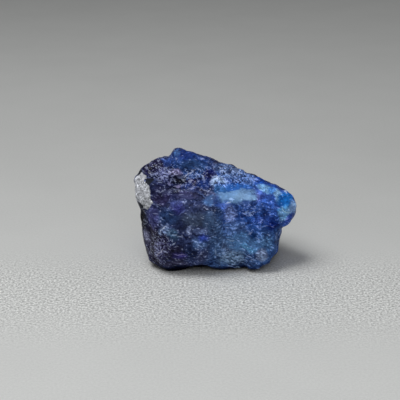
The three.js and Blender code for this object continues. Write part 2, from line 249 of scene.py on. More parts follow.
# The stains that make up the colour of the stone. A later one lies over those before it. Each has its colour,
# how soft its edge is and how much of it shows.
STAINS = (
    ("blue of the right half", (9.0, -4.0, 6.0), (10.0, 9.0, 22.0), 0, "#3659a8", 0.05, 1.0),
    ("slate of the left half", (-8.0, -4.0, 6.0), (8.6, 9.0, 22.0), 0, "#343f68", 0.04, 1.0),
    # the left front
    ("purple black corner", (-8.6, -5.3, 3.8), (2.6, 3.0, 3.2), 10, "#28243e", 0.3, 0.95),
    ("purple brow", (-8.4, -5.4, 7.7), (0.95, 1.4, 1.3), 0, "#4a4e84", 0.4, 0.9),
    ("black left rim", (-10.1, -4.4, 7.1), (0.9, 1.9, 2.1), 0, "#14131c", 0.35, 1.0),
    ("teal slate", (-6.3, -6.3, 8.0), (1.2, 1.2, 1.0), 0, "#2c4470", 0.5, 0.8),
    ("dark slate", (-4.4, -6.8, 7.2), (1.1, 1.0, 0.8), 0, "#1c2444", 0.5, 0.75),
    ("slate brow", (-2.5, -7.0, 7.9), (2.0, 1.3, 1.0), 0, "#46546e", 0.4, 0.8),
    # painted shadow under the steel band above it
    ("painted shadow over the slate brow", (-1.3, -6.5, 9.1), (1.7, 1.0, 0.5), 5, "#202a4a", 0.5, 0.8),
    ("steel beside the seam", (-0.9, -7.0, 7.3), (0.8, 1.0, 1.6), 0, "#4c6894", 0.5, 0.8),
    ("steel low beside the seam", (-0.4, -6.8, 4.0), (0.7, 1.0, 1.5), 0, "#44628c", 0.5, 0.8),
    ("violet black foot", (-5.3, -7.1, 3.2), (1.4, 1.2, 1.6), 0, "#252440", 0.35, 0.95),
    ("lavender corner", (-7.2, -6.7, 3.5), (1.0, 1.2, 1.7), 15, "#44436c", 0.5, 0.85),
    ("pale rim of the corner", (-9.3, -4.4, 4.6), (0.6, 1.2, 1.0), 0, "#70728e", 0.4, 0.8),
    ("navy foot", (-3.2, -7.3, 3.5), (1.0, 0.9, 1.2), 0, "#1b284d", 0.5, 0.9),
    ("grey violet foot", (-1.2, -7.2, 2.5), (1.2, 1.0, 1.2), 0, "#3a4062", 0.5, 0.85),
    ("dusky bottom rim", (-5.6, -7.0, 1.3), (2.0, 1.2, 0.6), 0, "#44425c", 0.4, 0.8),
    ("purple patch", (-4.7, -7.25, 2.9), (0.85, 0.8, 0.5), 0, "#4a4690", 0.6, 0.8),
    ("pale spot, left", (-6.8, -6.7, 6.4), (0.75, 0.9, 0.5), -35, "#6e82ae", 0.5, 1.0),
    ("teal grey spot", (-5.7, -7.0, 5.9), (0.8, 0.8, 0.6), 30, "#4a6a8c", 0.5, 0.8),
    ("spike", (-3.4, -7.0, 6.4), (0.3, 0.8, 0.6), 0, "#8c9cc8", 0.6, 1.0),
    ("pale spot, right", (-2.0, -7.2, 6.3), (0.85, 0.8, 0.4), -5, "#7488bc", 0.6, 0.9),
    ("blue haze", (-2.0, -7.3, 4.8), (1.0, 0.9, 0.7), 0, "#4c6a9c", 0.6, 0.85),
    ("blue spot", (-1.6, -7.3, 5.4), (0.6, 0.8, 0.5), 0, "#2c44b0", 0.7, 0.7),
    # the dark bands and the top
    ("blue of the top", (-3.6, 1.0, 13.4), (3.4, 3.2, 1.7), 14, "#26427f", 0.15, 1.0),
    ("far edge of the top", (-0.8, 2.8, 13.6), (2.6, 1.6, 1.4), 25, "#18265a", 0.3, 0.85),
    ("knob", (-4.0, 1.2, 14.4), (1.5, 1.8, 0.7), 10, "#1f3880", 0.3, 0.9),
    ("rim of the knob", (-5.3, 1.8, 14.3), (0.5, 1.3, 0.5), 0, "#5078b4", 0.4, 0.85),
    ("blue shoulder", (-6.4, 1.4, 13.2), (1.2, 1.5, 0.5), -15, "#304c90", 0.3, 0.9),
    ("grey brow", (-2.9, -0.3, 13.0), (2.0, 1.1, 0.8), 10, "#345284", 0.5, 0.85),
    ("violet black shoulder", (-8.5, 0.9, 12.7), (1.6, 2.4, 1.0), 0, "#26244a", 0.2, 1.0),
    ("lavender shoulder", (-6.9, -1.3, 12.0), (2.0, 1.5, 1.0), 0, "#3e4376", 0.3, 0.95),
    ("rose patch", (-5.3, -0.9, 12.4), (0.9, 0.75, 0.45), 0, "#928eba", 0.4, 0.85),
    ("glassy brow", (-2.9, -1.1, 12.1), (1.6, 1.1, 0.75), 0, "#304c84", 0.4, 0.9),
    ("navy corner", (-1.0, -1.4, 12.3), (0.75, 1.0, 0.75), -30, "#081458", 0.4, 0.9),
    ("dark bands", (-5.4, -3.5, 10.8), (3.9, 2.0, 1.1), 2, "#272c55", 0.2, 0.95),
    ("grey of the bands", (-6.8, -3.9, 10.6), (1.2, 1.0, 0.5), 0, "#44486c", 0.5, 0.75),
    ("dark of the bands", (-5.0, -3.5, 10.6), (1.1, 1.2, 0.42), 0, "#161a38", 0.5, 0.95),
    # painted shade in the hollow of the brow
    ("dark hollow", (-5.0, -1.8, 11.5), (1.1, 0.9, 0.42), 0, "#101628", 0.35, 0.95),
    ("maroon streak", (-3.0, -2.2, 11.6), (1.1, 0.9, 0.3), 0, "#201848", 0.4, 0.9),
    ("blue grey streaks", (-3.5, -3.0, 11.1), (1.3, 1.0, 0.35), 12, "#2e4280", 0.5, 0.8),
    ("deep blue corner", (-1.3, -2.9, 11.5), (1.5, 1.2, 0.65), 0, "#162e6a", 0.4, 0.95),
    ("lavender streak", (-4.0, -3.8, 10.4), (0.9, 0.8, 0.25), 0, "#5a5c90", 0.5, 0.8),
    ("maroon dusk", (-7.2, -4.8, 9.9), (1.2, 1.2, 0.7), 0, "#34305a", 0.4, 0.85),
    ("black beside the calcite", (-7.8, -4.6, 10.5), (0.9, 1.4, 1.2), 10, "#26243c", 0.5, 0.45),
    ("violet blue under the bands", (-5.2, -5.3, 9.5), (0.85, 1.0, 0.45), 0, "#444f8c", 0.45, 0.85),
    ("indigo under the bands", (-5.0, -5.9, 9.0), (0.8, 0.9, 0.5), 0, "#3c408c", 0.6, 0.75),
    ("steel under the bands", (-0.7, -5.5, 10.0), (1.2, 1.0, 0.5), 10, "#4c70a8", 0.4, 0.9),
    # the right top
    ("grey slope", (2.8, -0.9, 12.3), (3.1, 1.9, 1.2), 24, "#5f7cb0", 0.2, 0.95),
    ("blue slope", (6.0, -0.6, 11.2), (2.6, 1.8, 0.9), 26, "#2458c0", 0.3, 0.9),
    ("far edge of the slope", (5.6, 2.2, 11.4), (5.4, 1.9, 1.8), 23, "#14204a", 0.2, 0.95),
    ("far edge of the beak", (8.8, 0.3, 10.1), (1.9, 1.1, 0.9), 32, "#16306c", 0.3, 0.9),
    ("white blue ledge", (0.45, -2.7, 11.6), (1.15, 1.3, 0.8), 10, "#839dc2", 0.35, 0.9),
    ("streaked blue", (3.4, -1.8, 11.5), (1.9, 1.0, 0.6), 20, "#5278c0", 0.4, 0.7),
    ("grey streaks of the slope", (4.4, -0.6, 11.7), (1.2, 1.2, 0.5), 24, "#5a7cb4", 0.5, 0.7),
    ("bright blue band", (2.9, -3.0, 11.0), (3.1, 1.0, 0.55), 4, "#3a78d4", 0.4, 0.9),
    ("left end of the band", (0.6, -3.9, 10.95), (0.95, 1.0, 0.5), 0, "#3464a0", 0.35, 0.9),
    ("light blue ledge", (6.8, -1.8, 10.35), (1.3, 1.0, 0.5), 14, "#7cb0e4", 0.35, 0.95),
    ("bright spot", (7.5, -1.9, 10.2), (0.6, 0.9, 0.35), 10, "#3a80d8", 0.4, 0.85),
    ("indigo ledge", (5.6, -3.1, 9.8), (1.2, 1.1, 0.6), 10, "#5e80e4", 0.4, 0.9),
    ("lilac spot", (5.3, -3.4, 9.7), (0.7, 0.9, 0.4), 0, "#8490dc", 0.5, 0.85),
    ("blue ledge", (7.2, -3.2, 9.2), (1.0, 1.1, 0.7), 0, "#3a64be", 0.4, 0.85),
    ("navy under the window", (4.0, -4.9, 8.8), (2.4, 1.2, 0.95), 0, "#4064b2", 0.3, 0.95),
    ("pale window", (2.75, -4.2, 10.08), (2.95, 3.4, 0.78), 3, "#7ca8de", 0.14, 1.0),
    # painted highlight on the pale window
    ("painted highlight of the window", (3.8, -3.9, 10.1), (1.6, 1.6, 0.36), 3, "#a8d0f8", 0.5, 0.4),
    ("shade under the window", (4.5, -4.6, 9.4), (1.6, 1.2, 0.38), 0, "#304c90", 0.3, 0.9),
    ("pale column", (8.4, -2.2, 9.7), (0.5, 1.1, 0.9), 0, "#8cbae8", 0.4, 0.9),
    ("turquoise beak", (9.4, -2.4, 8.9), (1.2, 1.7, 1.0), 0, "#1e72cc", 0.25, 0.95),
    ("light turquoise", (9.2, -3.2, 8.05), (1.1, 1.2, 0.4), 0, "#5ca8ec", 0.35, 0.9),
    ("pale lower beak", (9.1, -3.6, 7.45), (1.2, 1.4, 0.75), -20, "#72a8dc", 0.35, 0.9),
    ("tip of the beak", (10.3, -2.5, 7.9), (0.65, 1.6, 0.85), 0, "#9cc4fa", 0.4, 0.9),
    ("violet lip of the beak", (9.9, -2.9, 6.8), (1.0, 1.8, 0.45), -45, "#2e48a4", 0.35, 0.9),
    # the right front
    ("steel of the right foot", (3.8, -5.5, 2.8), (5.3, 3.2, 4.0), 0, "#4468a4", 0.25, 0.9),
    ("dusk of the seam", (0.35, -6.5, 4.6), (0.75, 1.4, 4.4), 0, "#4e6c9a", 0.4, 0.85),
    ("grey beside the seam", (1.5, -6.1, 3.8), (0.8, 1.1, 1.3), 0, "#6880a8", 0.5, 0.7),
    ("dark blue over the seam", (0.3, -5.5, 9.8), (0.55, 1.3, 0.85), -30, "#223e80", 0.4, 0.9),
    ("violet blue spot", (1.15, -5.8, 9.35), (0.9, 1.0, 0.5), 10, "#6890f8", 0.4, 0.95),
    ("lilac wedge", (1.85, -5.7, 8.25), (0.8, 1.0, 1.1), -20, "#869ee0", 0.45, 0.9),
    ("royal blue", (5.4, -5.0, 6.9), (2.8, 1.5, 1.4), 0, "#2d56a6", 0.4, 0.9),
    ("violet in the royal blue", (6.2, -4.9, 7.0), (1.2, 1.2, 0.6), 0, "#324c9c", 0.5, 0.7),
    ("darkest blue", (7.7, -4.6, 6.3), (0.9, 1.4, 0.8), 0, "#0c2a88", 0.5, 0.9),
    ("grey blue under the wedge", (2.6, -5.8, 6.2), (1.7, 1.3, 1.0), 0, "#5474b0", 0.5, 0.85),
    ("steel foot", (3.6, -5.6, 4.2), (2.3, 1.5, 1.3), 12, "#5884bc", 0.35, 0.9),
    ("teal spot", (4.8, -5.4, 5.2), (0.8, 0.9, 0.5), 20, "#04285c", 0.5, 0.95),
    ("cyan streak", (4.5, -5.9, 3.4), (1.2, 0.9, 0.42), 15, "#64a0d4", 0.5, 0.85),
    ("grey foot", (2.2, -5.5, 2.0), (1.9, 1.3, 1.1), 0, "#6884a4", 0.5, 0.85),
    ("violet blue foot", (4.7, -6.0, 2.0), (0.9, 1.1, 0.8), 0, "#4a689c", 0.5, 0.85),
    ("slate corner", (6.8, -5.5, 4.0), (1.1, 1.4, 1.0), 0, "#5078a8", 0.5, 0.85),
    ("pale patch in the corner", (6.2, -6.2, 2.45), (0.9, 1.1, 0.8), 30, "#8ea4cc", 0.25, 0.85),
    # painted shade under the overhang of the right flank
    ("painted shade on the right rim", (8.3, -3.8, 3.8), (0.85, 2.6, 2.2), 0, "#355690", 0.4, 0.9),
)

# Thin streaks, most of them bright, with their colour. Those named glint are painted highlights.
STREAKS = (
    ("over the brow", (-3.8, -0.9, 12.2), (0.85, 1.2, 0.07), -19, "#b4c0e4"),
    ("over the bands, left", (-6.1, -2.2, 11.2), (0.55, 0.4, 0.08), -14, "#8c88b4"),
    ("over the bands, middle", (-5.0, -2.6, 11.1), (0.5, 0.4, 0.08), -11, "#8c88b4"),
    ("over the bands, right", (-3.2, -3.2, 11.0), (0.5, 0.5, 0.08), -24, "#8890bc"),
    ("under the hollow", (-5.4, -2.4, 11.2), (0.5, 0.4, 0.08), 25, "#70729c"),
    ("band, upper", (-5.2, -4.0, 10.75), (1.7, 1.2, 0.1), -4, "#454a72"),
    ("band, middle", (-3.3, -3.7, 10.6), (1.5, 1.2, 0.1), 8, "#424c78"),
    ("band, lower", (-4.0, -4.6, 10.15), (1.6, 1.2, 0.12), 4, "#4a4f7c"),
    ("band, right", (-1.6, -4.4, 10.3), (0.9, 1.2, 0.1), 20, "#54689c"),
    ("arc under the bands", (-4.5, -6.4, 8.6), (0.6, 1.2, 0.07), -25, "#58669c"),
    ("on the purple patch", (-4.7, -7.3, 3.2), (0.55, 1.2, 0.07), 2, "#9c96d0"),
    ("beside the pale spot", (-6.8, -6.7, 6.5), (0.55, 1.2, 0.07), -47, "#ccd8f4"),
    ("left net, top", (-5.5, -7.3, 4.9), (0.22, 1.2, 0.07), -35, "#a4b0cc"),
    ("left net, bottom", (-7.3, -6.8, 3.1), (0.75, 1.2, 0.07), -46, "#c4c4dc"),
    ("glint of the window, left", (4.0, -4.8, 8.1), (0.32, 1.2, 0.13), -30, "#a0beff"),
    ("glint of the window, middle", (4.5, -4.8, 7.9), (0.24, 1.2, 0.12), 50, "#a0beff"),
    ("glint of the window, right", (5.0, -4.7, 8.15), (0.26, 1.2, 0.11), -10, "#a0beff"),
    ("glint of the blue spot", (1.6, -5.7, 9.6), (0.3, 1.2, 0.09), -5, "#c8dcff"),
    ("glint of the beak", (9.3, -1.3, 9.7), (0.25, 1.2, 0.1), 60, "#c8dcff"),
    ("seam", (0.0, -6.6, 3.1), (0.5, 1.2, 0.07), 68, "#8ca4cc"),
    ("foot, left", (2.1, -5.9, 4.4), (0.25, 1.2, 0.07), 10, "#a4c4e8"),
    ("foot, low", (3.0, -4.9, 0.6), (0.4, 1.2, 0.07), 29, "#a4c4e8"),
    ("edge of the lower beak", (9.4, -3.5, 7.8), (0.65, 1.2, 0.07), 38, "#a8d4f0"),
    ("foot, upper", (3.1, -5.6, 3.9), (1.0, 1.2, 0.07), 24, "#6090c8"),
    ("foot, middle", (2.9, -5.6, 3.2), (1.4, 1.2, 0.07), 21, "#6090c8"),
)

# Where the stone is clear and calm, with how much.
CALM = (
    ("pale window", (2.9, -4.2, 10.3), (3.4, 3.0, 1.0), -3, 0.85),
    ("steel under the bands", (-0.8, -5.5, 10.0), (1.2, 1.0, 0.6), 0, 0.6),
    ("light blue ledge", (6.8, -1.5, 10.5), (1.5, 1.2, 0.6), 14, 0.5),
    ("beak", (9.3, -2.8, 8.6), (1.3, 2.0, 1.8), 0, 0.5),
    ("pale patch in the corner", (6.2, -6.2, 2.45), (0.9, 1.1, 0.85), 20, 0.3),
    ("steel foot", (3.6, -5.7, 4.0), (2.4, 1.4, 1.4), 12, 0.4),
    ("top", (-3.8, 1.4, 13.8), (2.6, 2.6, 1.2), 14, 0.4),
    ("middle of the left front", (-3.4, -6.9, 7.6), (3.6, 1.6, 1.6), 0, 0.4),
)

# The white calcite on the left end, with its colour, and the dark chips out of its edge.
CALCITE = (
    ("middle calcite", (-9.9, -2.9, 10.7), (1.4, 3.6, 1.45), 0, "#b2b5bc"),
    ("upper calcite", (-9.9, -1.6, 11.45), (0.8, 2.5, 0.7), 0, "#b8bbc2"),
    ("lower calcite", (-9.25, -4.9, 9.55), (0.92, 2.2, 0.95), 0, "#a6a9af"),
)
CALCITE_CHIPS = (
    ("notch beside the calcite", (-8.85, -2.6, 12.0), (0.5, 1.4, 0.7), 0),
    ("chip above the calcite", (-10.5, -0.1, 12.15), (0.6, 1.4, 0.6), 0),
    ("chip under the calcite", (-10.1, -4.5, 9.0), (0.36, 1.4, 0.45), 0),
)
CHIP_COLOUR = "#20242f"

# How soft the edges of these zones are, as a share of their size.
SOFTNESS = {
    "swelling": 0.6,
    "gap": 0.25,
    "glitter": 0.5,
    "calm": 0.3,
    "streak": 0.5,
    "calcite": 0.08,
    "chip": 0.1,
}
STREAK_STRENGTH = 0.85

# The broad colours where no stain is, and the dark colour of surfaces that face backwards with how much of it
# shows.
BACK_COLOURS = ("#27386e", "#3a5a9c", "#4a5680", "#23284a")
BACK_FACING_COLOUR = "#1c2c5c"
BACK_FACING_STRENGTH = 0.75

# Dark splinters: their spacing, length and width in millimetres, the share of them that shows in calm and in
# glittering stone, how much they lie along the layers, and how much light they leave in each.
DARK_SPLINTERS = (
    (1.1, 1.5, 0.16, (0.15, 0.6), 1.2, (0.45, 0.15)),
    (0.6, 0.8, 0.14, (0.12, 0.9), 0.9, (0.45, 0.1)),
)

# Bright splinters, partly pale crystals and partly painted glints: the same up to how they lie, and then how
# far their pattern is moved from the others.
BRIGHT_SPLINTERS_AND_GLINTS = (
    (0.8, 1.2, 0.15, (0.04, 0.65), 1.3, (4, 1, 7)),
    (0.48, 0.68, 0.13, (0.05, 0.75), 1.3, (2, 5, 3)),
    (0.26, 0.29, 0.2, (0.05, 0.7), 0.6, (9, 3, 6)),
)
# The pale colour of the bright splinters and of the painted glints.
SPLINTER_GLINT_COLOUR = "#d2defc"


def zone_group(kind):
    """How much of a zone shows at a place: all of it at its middle and none past its edge."""
    w, given, out = new_group(
        "Zone",
        kind,
        [
            ("Place", VECTOR, None),
            ("Middle", VECTOR, None),
            ("Reach", VECTOR, (1, 1, 1)),
            ("Lean", FLOAT, 0.0),
            ("Softness", FLOAT, 0.3),
            ("Strength", FLOAT, 1.0),
        ],
        [("Shown", FLOAT)],
    )
    away = w.vectors("SUBTRACT", given["Place"], given["Middle"])
    inputs = {"Vector": away, "Angle": w.maths("MULTIPLY", given["Lean"], -1.0)}
    turned = w.node("ShaderNodeVectorRotate", inputs, rotation_type="Y_AXIS").outputs[0]
    distance = w.length(w.vectors("DIVIDE", turned, given["Reach"]))
    inner = w.maths("SUBTRACT", 1.0, given["Softness"])
    outer = w.maths("ADD", 1.0, given["Softness"])
    w.put(w.ramp(distance, inner, outer, given["Strength"], 0.0), out.inputs["Shown"])
    return w.tree


def ragged_group(kind):
    """Moves a place about a little, so that what is laid out by it has a ragged edge."""
    w, given, out = new_group(
        "Ragged place",
        kind,
        [("Place", VECTOR, None), ("Broad", FLOAT, 1.2), ("Fine", FLOAT, 0.35)],
        [("Place", VECTOR)],
    )
    place = given["Place"]
    for name, size in (("Broad", 1.5), ("Fine", 0.35)):
        moved = w.vectors("SUBTRACT", w.noise(given["Place"], size, 2.0, coloured=True), (HALF, HALF, HALF))
        place = w.vectors("ADD", place, w.scaled(moved, given[name]))
    w.put(place, out.inputs["Place"])
    return w.tree


def shown_zone(w, group, zone, place, **inputs):
    """How much of a zone of the lists shows, by the node group for zones."""
    middle, reach, lean = zone[1:]
    return placed(w, group, place=place, middle=middle, reach=reach, lean=math.radians(lean), **inputs)


# ------------------------------------------------- the broken surface


def facet_group():
    """Flat crystal faces that meet along sharp edges: low pyramids, set close together and turned about."""
    w, given, out = new_group(
        "Crystal faces",
        GEOMETRY,
        [("Place", VECTOR, None), ("Turn", VECTOR, None), ("Size", FLOAT, 1.0), ("Height", FLOAT, 0.1)],
        [("Relief", FLOAT)],
    )
    inputs = {"Vector": w.scaled(given["Place"], w.per(given["Size"])), "Rotation": given["Turn"]}
    place = w.node("ShaderNodeVectorRotate", inputs, rotation_type="EULER_XYZ").outputs[0]
    cells = w.cells(place, 1.0, distance="MANHATTAN")
    standing = w.maths("SUBTRACT", MIDDLING_DISTANCE, cells["Distance"])
    w.put(w.maths("MULTIPLY", standing, given["Height"]), out.inputs["Relief"])
    return w.tree


def ledge_group():
    """Thin layers with broken edges: each rises slowly and ends in a step. They come and go in patches."""
    w, given, out = new_group(
        "Broken layers",
        GEOMETRY,
        [("Place", VECTOR, None), ("Spacing", FLOAT, 0.6), ("Depth", FLOAT, 0.1)],
        [("Relief", FLOAT)],
    )
    place = given["Place"]
    bend = 1.6
    step_at = 0.75
    middling_rise = 0.4
    wander = w.maths("MULTIPLY", w.noise(place, 2.6, detail=2.0), bend)
    along = w.maths("ADD", w.dot(place, tuple(LAYER_NORMAL)), wander)
    share = w.maths("FRACT", w.maths("DIVIDE", along, given["Spacing"]))
    rise = w.ramp(share, 0.0, step_at, smooth=False)
    fall = w.ramp(share, step_at, 1.0)
    layers = w.maths("SUBTRACT", w.maths("SUBTRACT", rise, fall), middling_rise)
    patches = w.ramp(w.noise(place, 3.0, detail=1.0), 0.42, 0.6)
    w.put(w.maths("MULTIPLY", w.maths("MULTIPLY", layers, patches), given["Depth"]), out.inputs["Relief"])
    return w.tree


def glitter_group():
    """Where the fine crystals are: in the zones of the list and in a few patches of their own behind."""
    w, given, out = new_group("Glitter", GEOMETRY, [("Place", VECTOR, None)], [("Glitter", FLOAT)])
    zone = zone_group(GEOMETRY)
    place = placed(w, ragged_group(GEOMETRY), place=given["Place"])
    behind = w.ramp(w.split(given["Place"])[1], 0.5, 3.0)
    glitter = w.maths("MULTIPLY", w.ramp(w.noise(place, 3.0, detail=2.0), 0.5, 0.62, 0.05, 0.55), behind)
    for *each, strength in GLITTER:
        shown = shown_zone(w, zone, each, place, strength=strength, softness=SOFTNESS["glitter"])
        glitter = w.maths("MAXIMUM", glitter, shown)
    w.put(glitter, out.inputs["Glitter"])
    return w.tree


# The sizes that the surface is made with, which a user may change. The operator sets each by its name.
SURFACE_SIZES = (
    "Layer Spacing",
    "Layer Depth",
    "Face Size",
    "Face Height",
    "Crystal Size",
    "Crystal Height",
    "Grain Size",
    "Grain Height",
    "Foot Fade",
    "Foot Tuck",
)


def relief_tree():
    """Works swellings, layers, crystal faces and grain into a surface, and keeps what the colours read."""
    w, given, out = new_group(
        "Broken stone surface",
        GEOMETRY,
        [("Geometry", "NodeSocketGeometry", None), ("Material", "NodeSocketMaterial", None)]
        + [(name, FLOAT, 0.0) for name in SURFACE_SIZES],
        [("Geometry", "NodeSocketGeometry")],
    )
    faces, ledges, zone = facet_group(), ledge_group(), zone_group(GEOMETRY)
    place = w.scaled(w.node("GeometryNodeInputPosition").outputs[0], 1 / MM)
    height = w.split(place)[2]

    def in_mm(name):
        return w.maths("DIVIDE", given[name], MM)

    glitter = placed(w, glitter_group(), place=place)
    size, tall = in_mm("Face Size"), in_mm("Face Height")
    broad = placed(w, faces, place=place, turn=(0.5, 0.9, 0.2), size=size, height=tall)
    size, tall = in_mm("Crystal Size"), in_mm("Crystal Height")
    small = placed(w, faces, place=place, turn=(1.1, 0.3, 0.7), size=size, height=tall)
    layers = placed(w, ledges, place=place, spacing=in_mm("Layer Spacing"), depth=in_mm("Layer Depth"))
    grain = w.maths("SUBTRACT", w.noise(place, in_mm("Grain Size"), detail=2.0), HALF)
    grain = w.maths("MULTIPLY", grain, in_mm("Grain Height"))
    fine = w.maths("ADD", w.maths("ADD", small, layers), grain)
    fine = w.maths("MULTIPLY", fine, w.between(glitter, CALM_RELIEF, 1.0))
    relief = w.maths("ADD", broad, fine)
    shape = relief
    for *each, standing in SWELLINGS:
        shown = shown_zone(w, zone, each, place, strength=standing, softness=SOFTNESS["swelling"])
        shape = w.maths("ADD", shape, shown)
    shape = w.maths("MULTIPLY", shape, w.ramp(height, 0.0, in_mm("Foot Fade")))

    normal = w.node("GeometryNodeInputNormal").outputs[0]
    geometry = given["Geometry"]
    for name, value in (("relief", relief), ("back", w.split(normal)[1]), ("glitter", glitter)):
        inputs = {"Geometry": geometry, "Name": name, "Value": value}
        kept = w.node("GeometryNodeStoreNamedAttribute", inputs, data_type="FLOAT", domain="POINT")
        geometry = kept.outputs[0]
    offset = w.scaled(normal, w.maths("MULTIPLY", shape, MM))
    moved = w.node("GeometryNodeSetPosition", {"Geometry": geometry, "Offset": offset})

    # the foot is drawn in under the stone, and nothing goes below the floor
    x, y, z = w.split(w.node("GeometryNodeInputPosition").outputs[0])
    low = w.ramp(z, 0.0, w.maths("MULTIPLY", given["Foot Fade"], TUCK_REACH), 1.0, 0.0, smooth=False)
    drawn = w.maths("SUBTRACT", 1.0, w.maths("MULTIPLY", w.maths("MULTIPLY", low, low), given["Foot Tuck"]))
    level = w.maths("MAXIMUM", z, 0.0)
    for *each, gap in GAPS:
        lifted = shown_zone(w, zone, each, place, strength=gap * MM, softness=SOFTNESS["gap"])
        level = w.maths("MAXIMUM", level, lifted)
    inputs = {0: w.maths("MULTIPLY", x, drawn), 1: w.maths("MULTIPLY", y, drawn), 2: level}
    tucked = w.node("ShaderNodeCombineXYZ", inputs)
    inputs = {"Geometry": moved.outputs[0], "Position": tucked.outputs[0]}
    standing = w.node("GeometryNodeSetPosition", inputs)
    realized = w.node("GeometryNodeRealizeInstances", {0: standing.outputs[0]})
    inputs = {"Geometry": realized.outputs[0], "Material": given["Material"]}
    finished = w.node("GeometryNodeSetMaterial", inputs)
    w.put(finished.outputs[0], out.inputs["Geometry"])
    return w.tree


# -------------------------------------------------------- the colours


def layered_group():
    """Squeezes a place across the layers, so that what is drawn by it is drawn out along them."""
    w, given, out = new_group(
        "Layered place",
        SHADER,
        [("Place", VECTOR, None), ("Flatness", FLOAT, 2.0)],
        [("Place", VECTOR)],
    )
    across = w.maths("MULTIPLY", w.dot(given["Place"], tuple(LAYER_NORMAL)), given["Flatness"])
    w.put(w.vectors("ADD", given["Place"], w.scaled(tuple(LAYER_NORMAL), across)), out.inputs["Place"])
    return w.tree


def mottle_group():
    """How many times lighter the stone is from place to place. The strengths of its parts are in stops."""
    w, given, out = new_group(
        "Crystal mottle",
        SHADER,
        [
            ("Place", VECTOR, None),
            ("Layered Place", VECTOR, None),
            ("Clouds", FLOAT, 1.0),
            ("Streaks", FLOAT, 1.0),
            ("Crystals", FLOAT, 1.0),
            ("Chips", FLOAT, 1.0),
            ("Grain", FLOAT, 1.0),
        ],
        [("Light", FLOAT)],
    )
    place = given["Place"]
    layered = given["Layered Place"]
    most_stops = 1.5
    parts = {
        "Clouds": w.noise(place, 1.6, detail=2.0),
        "Streaks": w.noise(layered, 1.2, detail=4.0, roughness=0.6),
        "Crystals": w.split(w.cells(layered, 0.55)["Color"])[1],
        "Chips": w.split(w.cells(place, 0.24)["Color"])[0],
        "Grain": w.noise(place, 0.3, detail=2.0, roughness=0.7),
    }
    stops = 0.0
    for name, value in parts.items():
        lighter = w.maths("SUBTRACT", value, HALF)
        if name == "Grain":
            # few grains stand out, and those stand out strongly
            lighter = w.maths("MULTIPLY", lighter, w.maths("MULTIPLY", w.maths("ABSOLUTE", lighter), 6.0))
        stops = w.maths("ADD", stops, w.maths("MULTIPLY", lighter, given[name]))
    stops = w.maths("MAXIMUM", w.maths("MINIMUM", stops, most_stops), -most_stops)
    w.put(w.maths("POWER", 2.0, stops), out.inputs["Light"])
    return w.tree


def splinter_group():
    """Thin pointed splinters, one to a cell and unevenly strong, that lie any way or along the layers."""
    w, given, out = new_group(
        "Splinters",
        SHADER,
        [
            ("Place", VECTOR, None),
            ("Spacing", FLOAT, 0.6),
            ("Length", FLOAT, 0.5),
            ("Width", FLOAT, 0.08),
            ("Share", FLOAT, 0.5),
            ("Lie", FLOAT, 0.5),
        ],
        [("Shown", FLOAT)],
    )
    place = given["Place"]
    cells = w.cells(place, given["Spacing"])
    random = w.vectors("SUBTRACT", cells["Color"], (HALF, HALF, HALF))
    across = w.vectors("NORMALIZE", w.vectors("ADD", random, w.scaled(tuple(LAYER_NORMAL), given["Lie"])))
    away = w.vectors("SUBTRACT", place, cells["Position"])
    depth = w.maths("ABSOLUTE", w.dot(away, across))
    reach = w.maths("DIVIDE", w.length(away), w.maths("MULTIPLY", given["Length"], 0.5))
    # a splinter is full near its middle and comes to a point at its ends
    width = w.maths("MULTIPLY", given["Width"], w.ramp(reach, 0.3, 1.0, 1.0, 0.0, smooth=False))
    line = w.ramp(depth, w.maths("MULTIPLY", width, 0.3), w.maths("MULTIPLY", width, 0.8), 1.0, 0.0)
    # the fractions of many times a cell's colour are new random numbers, which don't follow how it lies
    first, second = w.split(cells["Color"])[:2]
    chosen = w.maths("LESS_THAN", w.maths("FRACT", w.maths("MULTIPLY", first, 7.0)), given["Share"])
    strength = w.between(w.maths("FRACT", w.maths("MULTIPLY", second, 5.0)), 0.35, 1.0)
    inside = w.maths("LESS_THAN", reach, 1.0)
    shown = w.maths("MULTIPLY", w.maths("MULTIPLY", line, inside), w.maths("MULTIPLY", chosen, strength))
    w.put(shown, out.inputs["Shown"])
    return w.tree


def glint_group():
    """Height of fine crystal faces that catch the light, taller where there is more glitter."""
    w, given, out = new_group(
        "Crystal glints",
        SHADER,
        [("Place", VECTOR, None), ("Size", FLOAT, 0.3), ("Glitter", FLOAT, 0.5)],
        [("Height", FLOAT)],
    )
    inputs = {"Vector": given["Place"], "Rotation": (0.7, 0.4, 1.0)}
    place = w.node("ShaderNodeVectorRotate", inputs, rotation_type="EULER_XYZ").outputs[0]
    cells = w.cells(place, given["Size"], distance="MANHATTAN")
    grain = w.maths("MULTIPLY", w.noise(given["Place"], 0.25, detail=2.0, roughness=0.6), 0.5)
    height = w.maths("SUBTRACT", grain, w.maths("MULTIPLY", cells["Distance"], given["Glitter"]))
    w.put(height, out.inputs["Height"])
    return w.tree


def shaded(w, tint, light, blue=None):
    """A colour made lighter or darker, with a light of its own for its blue if one is given."""
    shade = w.node("ShaderNodeCombineXYZ", {0: light, 1: light, 2: light if blue is None else blue})
    return w.mixed(1.0, tint, shade.outputs[0], "MULTIPLY")


def splinters(w, group, place, rough, spacing, length, width, shares, lie):
    """One set of splinters, with a share of them in calm stone and another where it is rough."""
    share = w.between(rough, *shares)
    return placed(w, group, place=place, spacing=spacing, length=length, width=width, share=share, lie=lie)


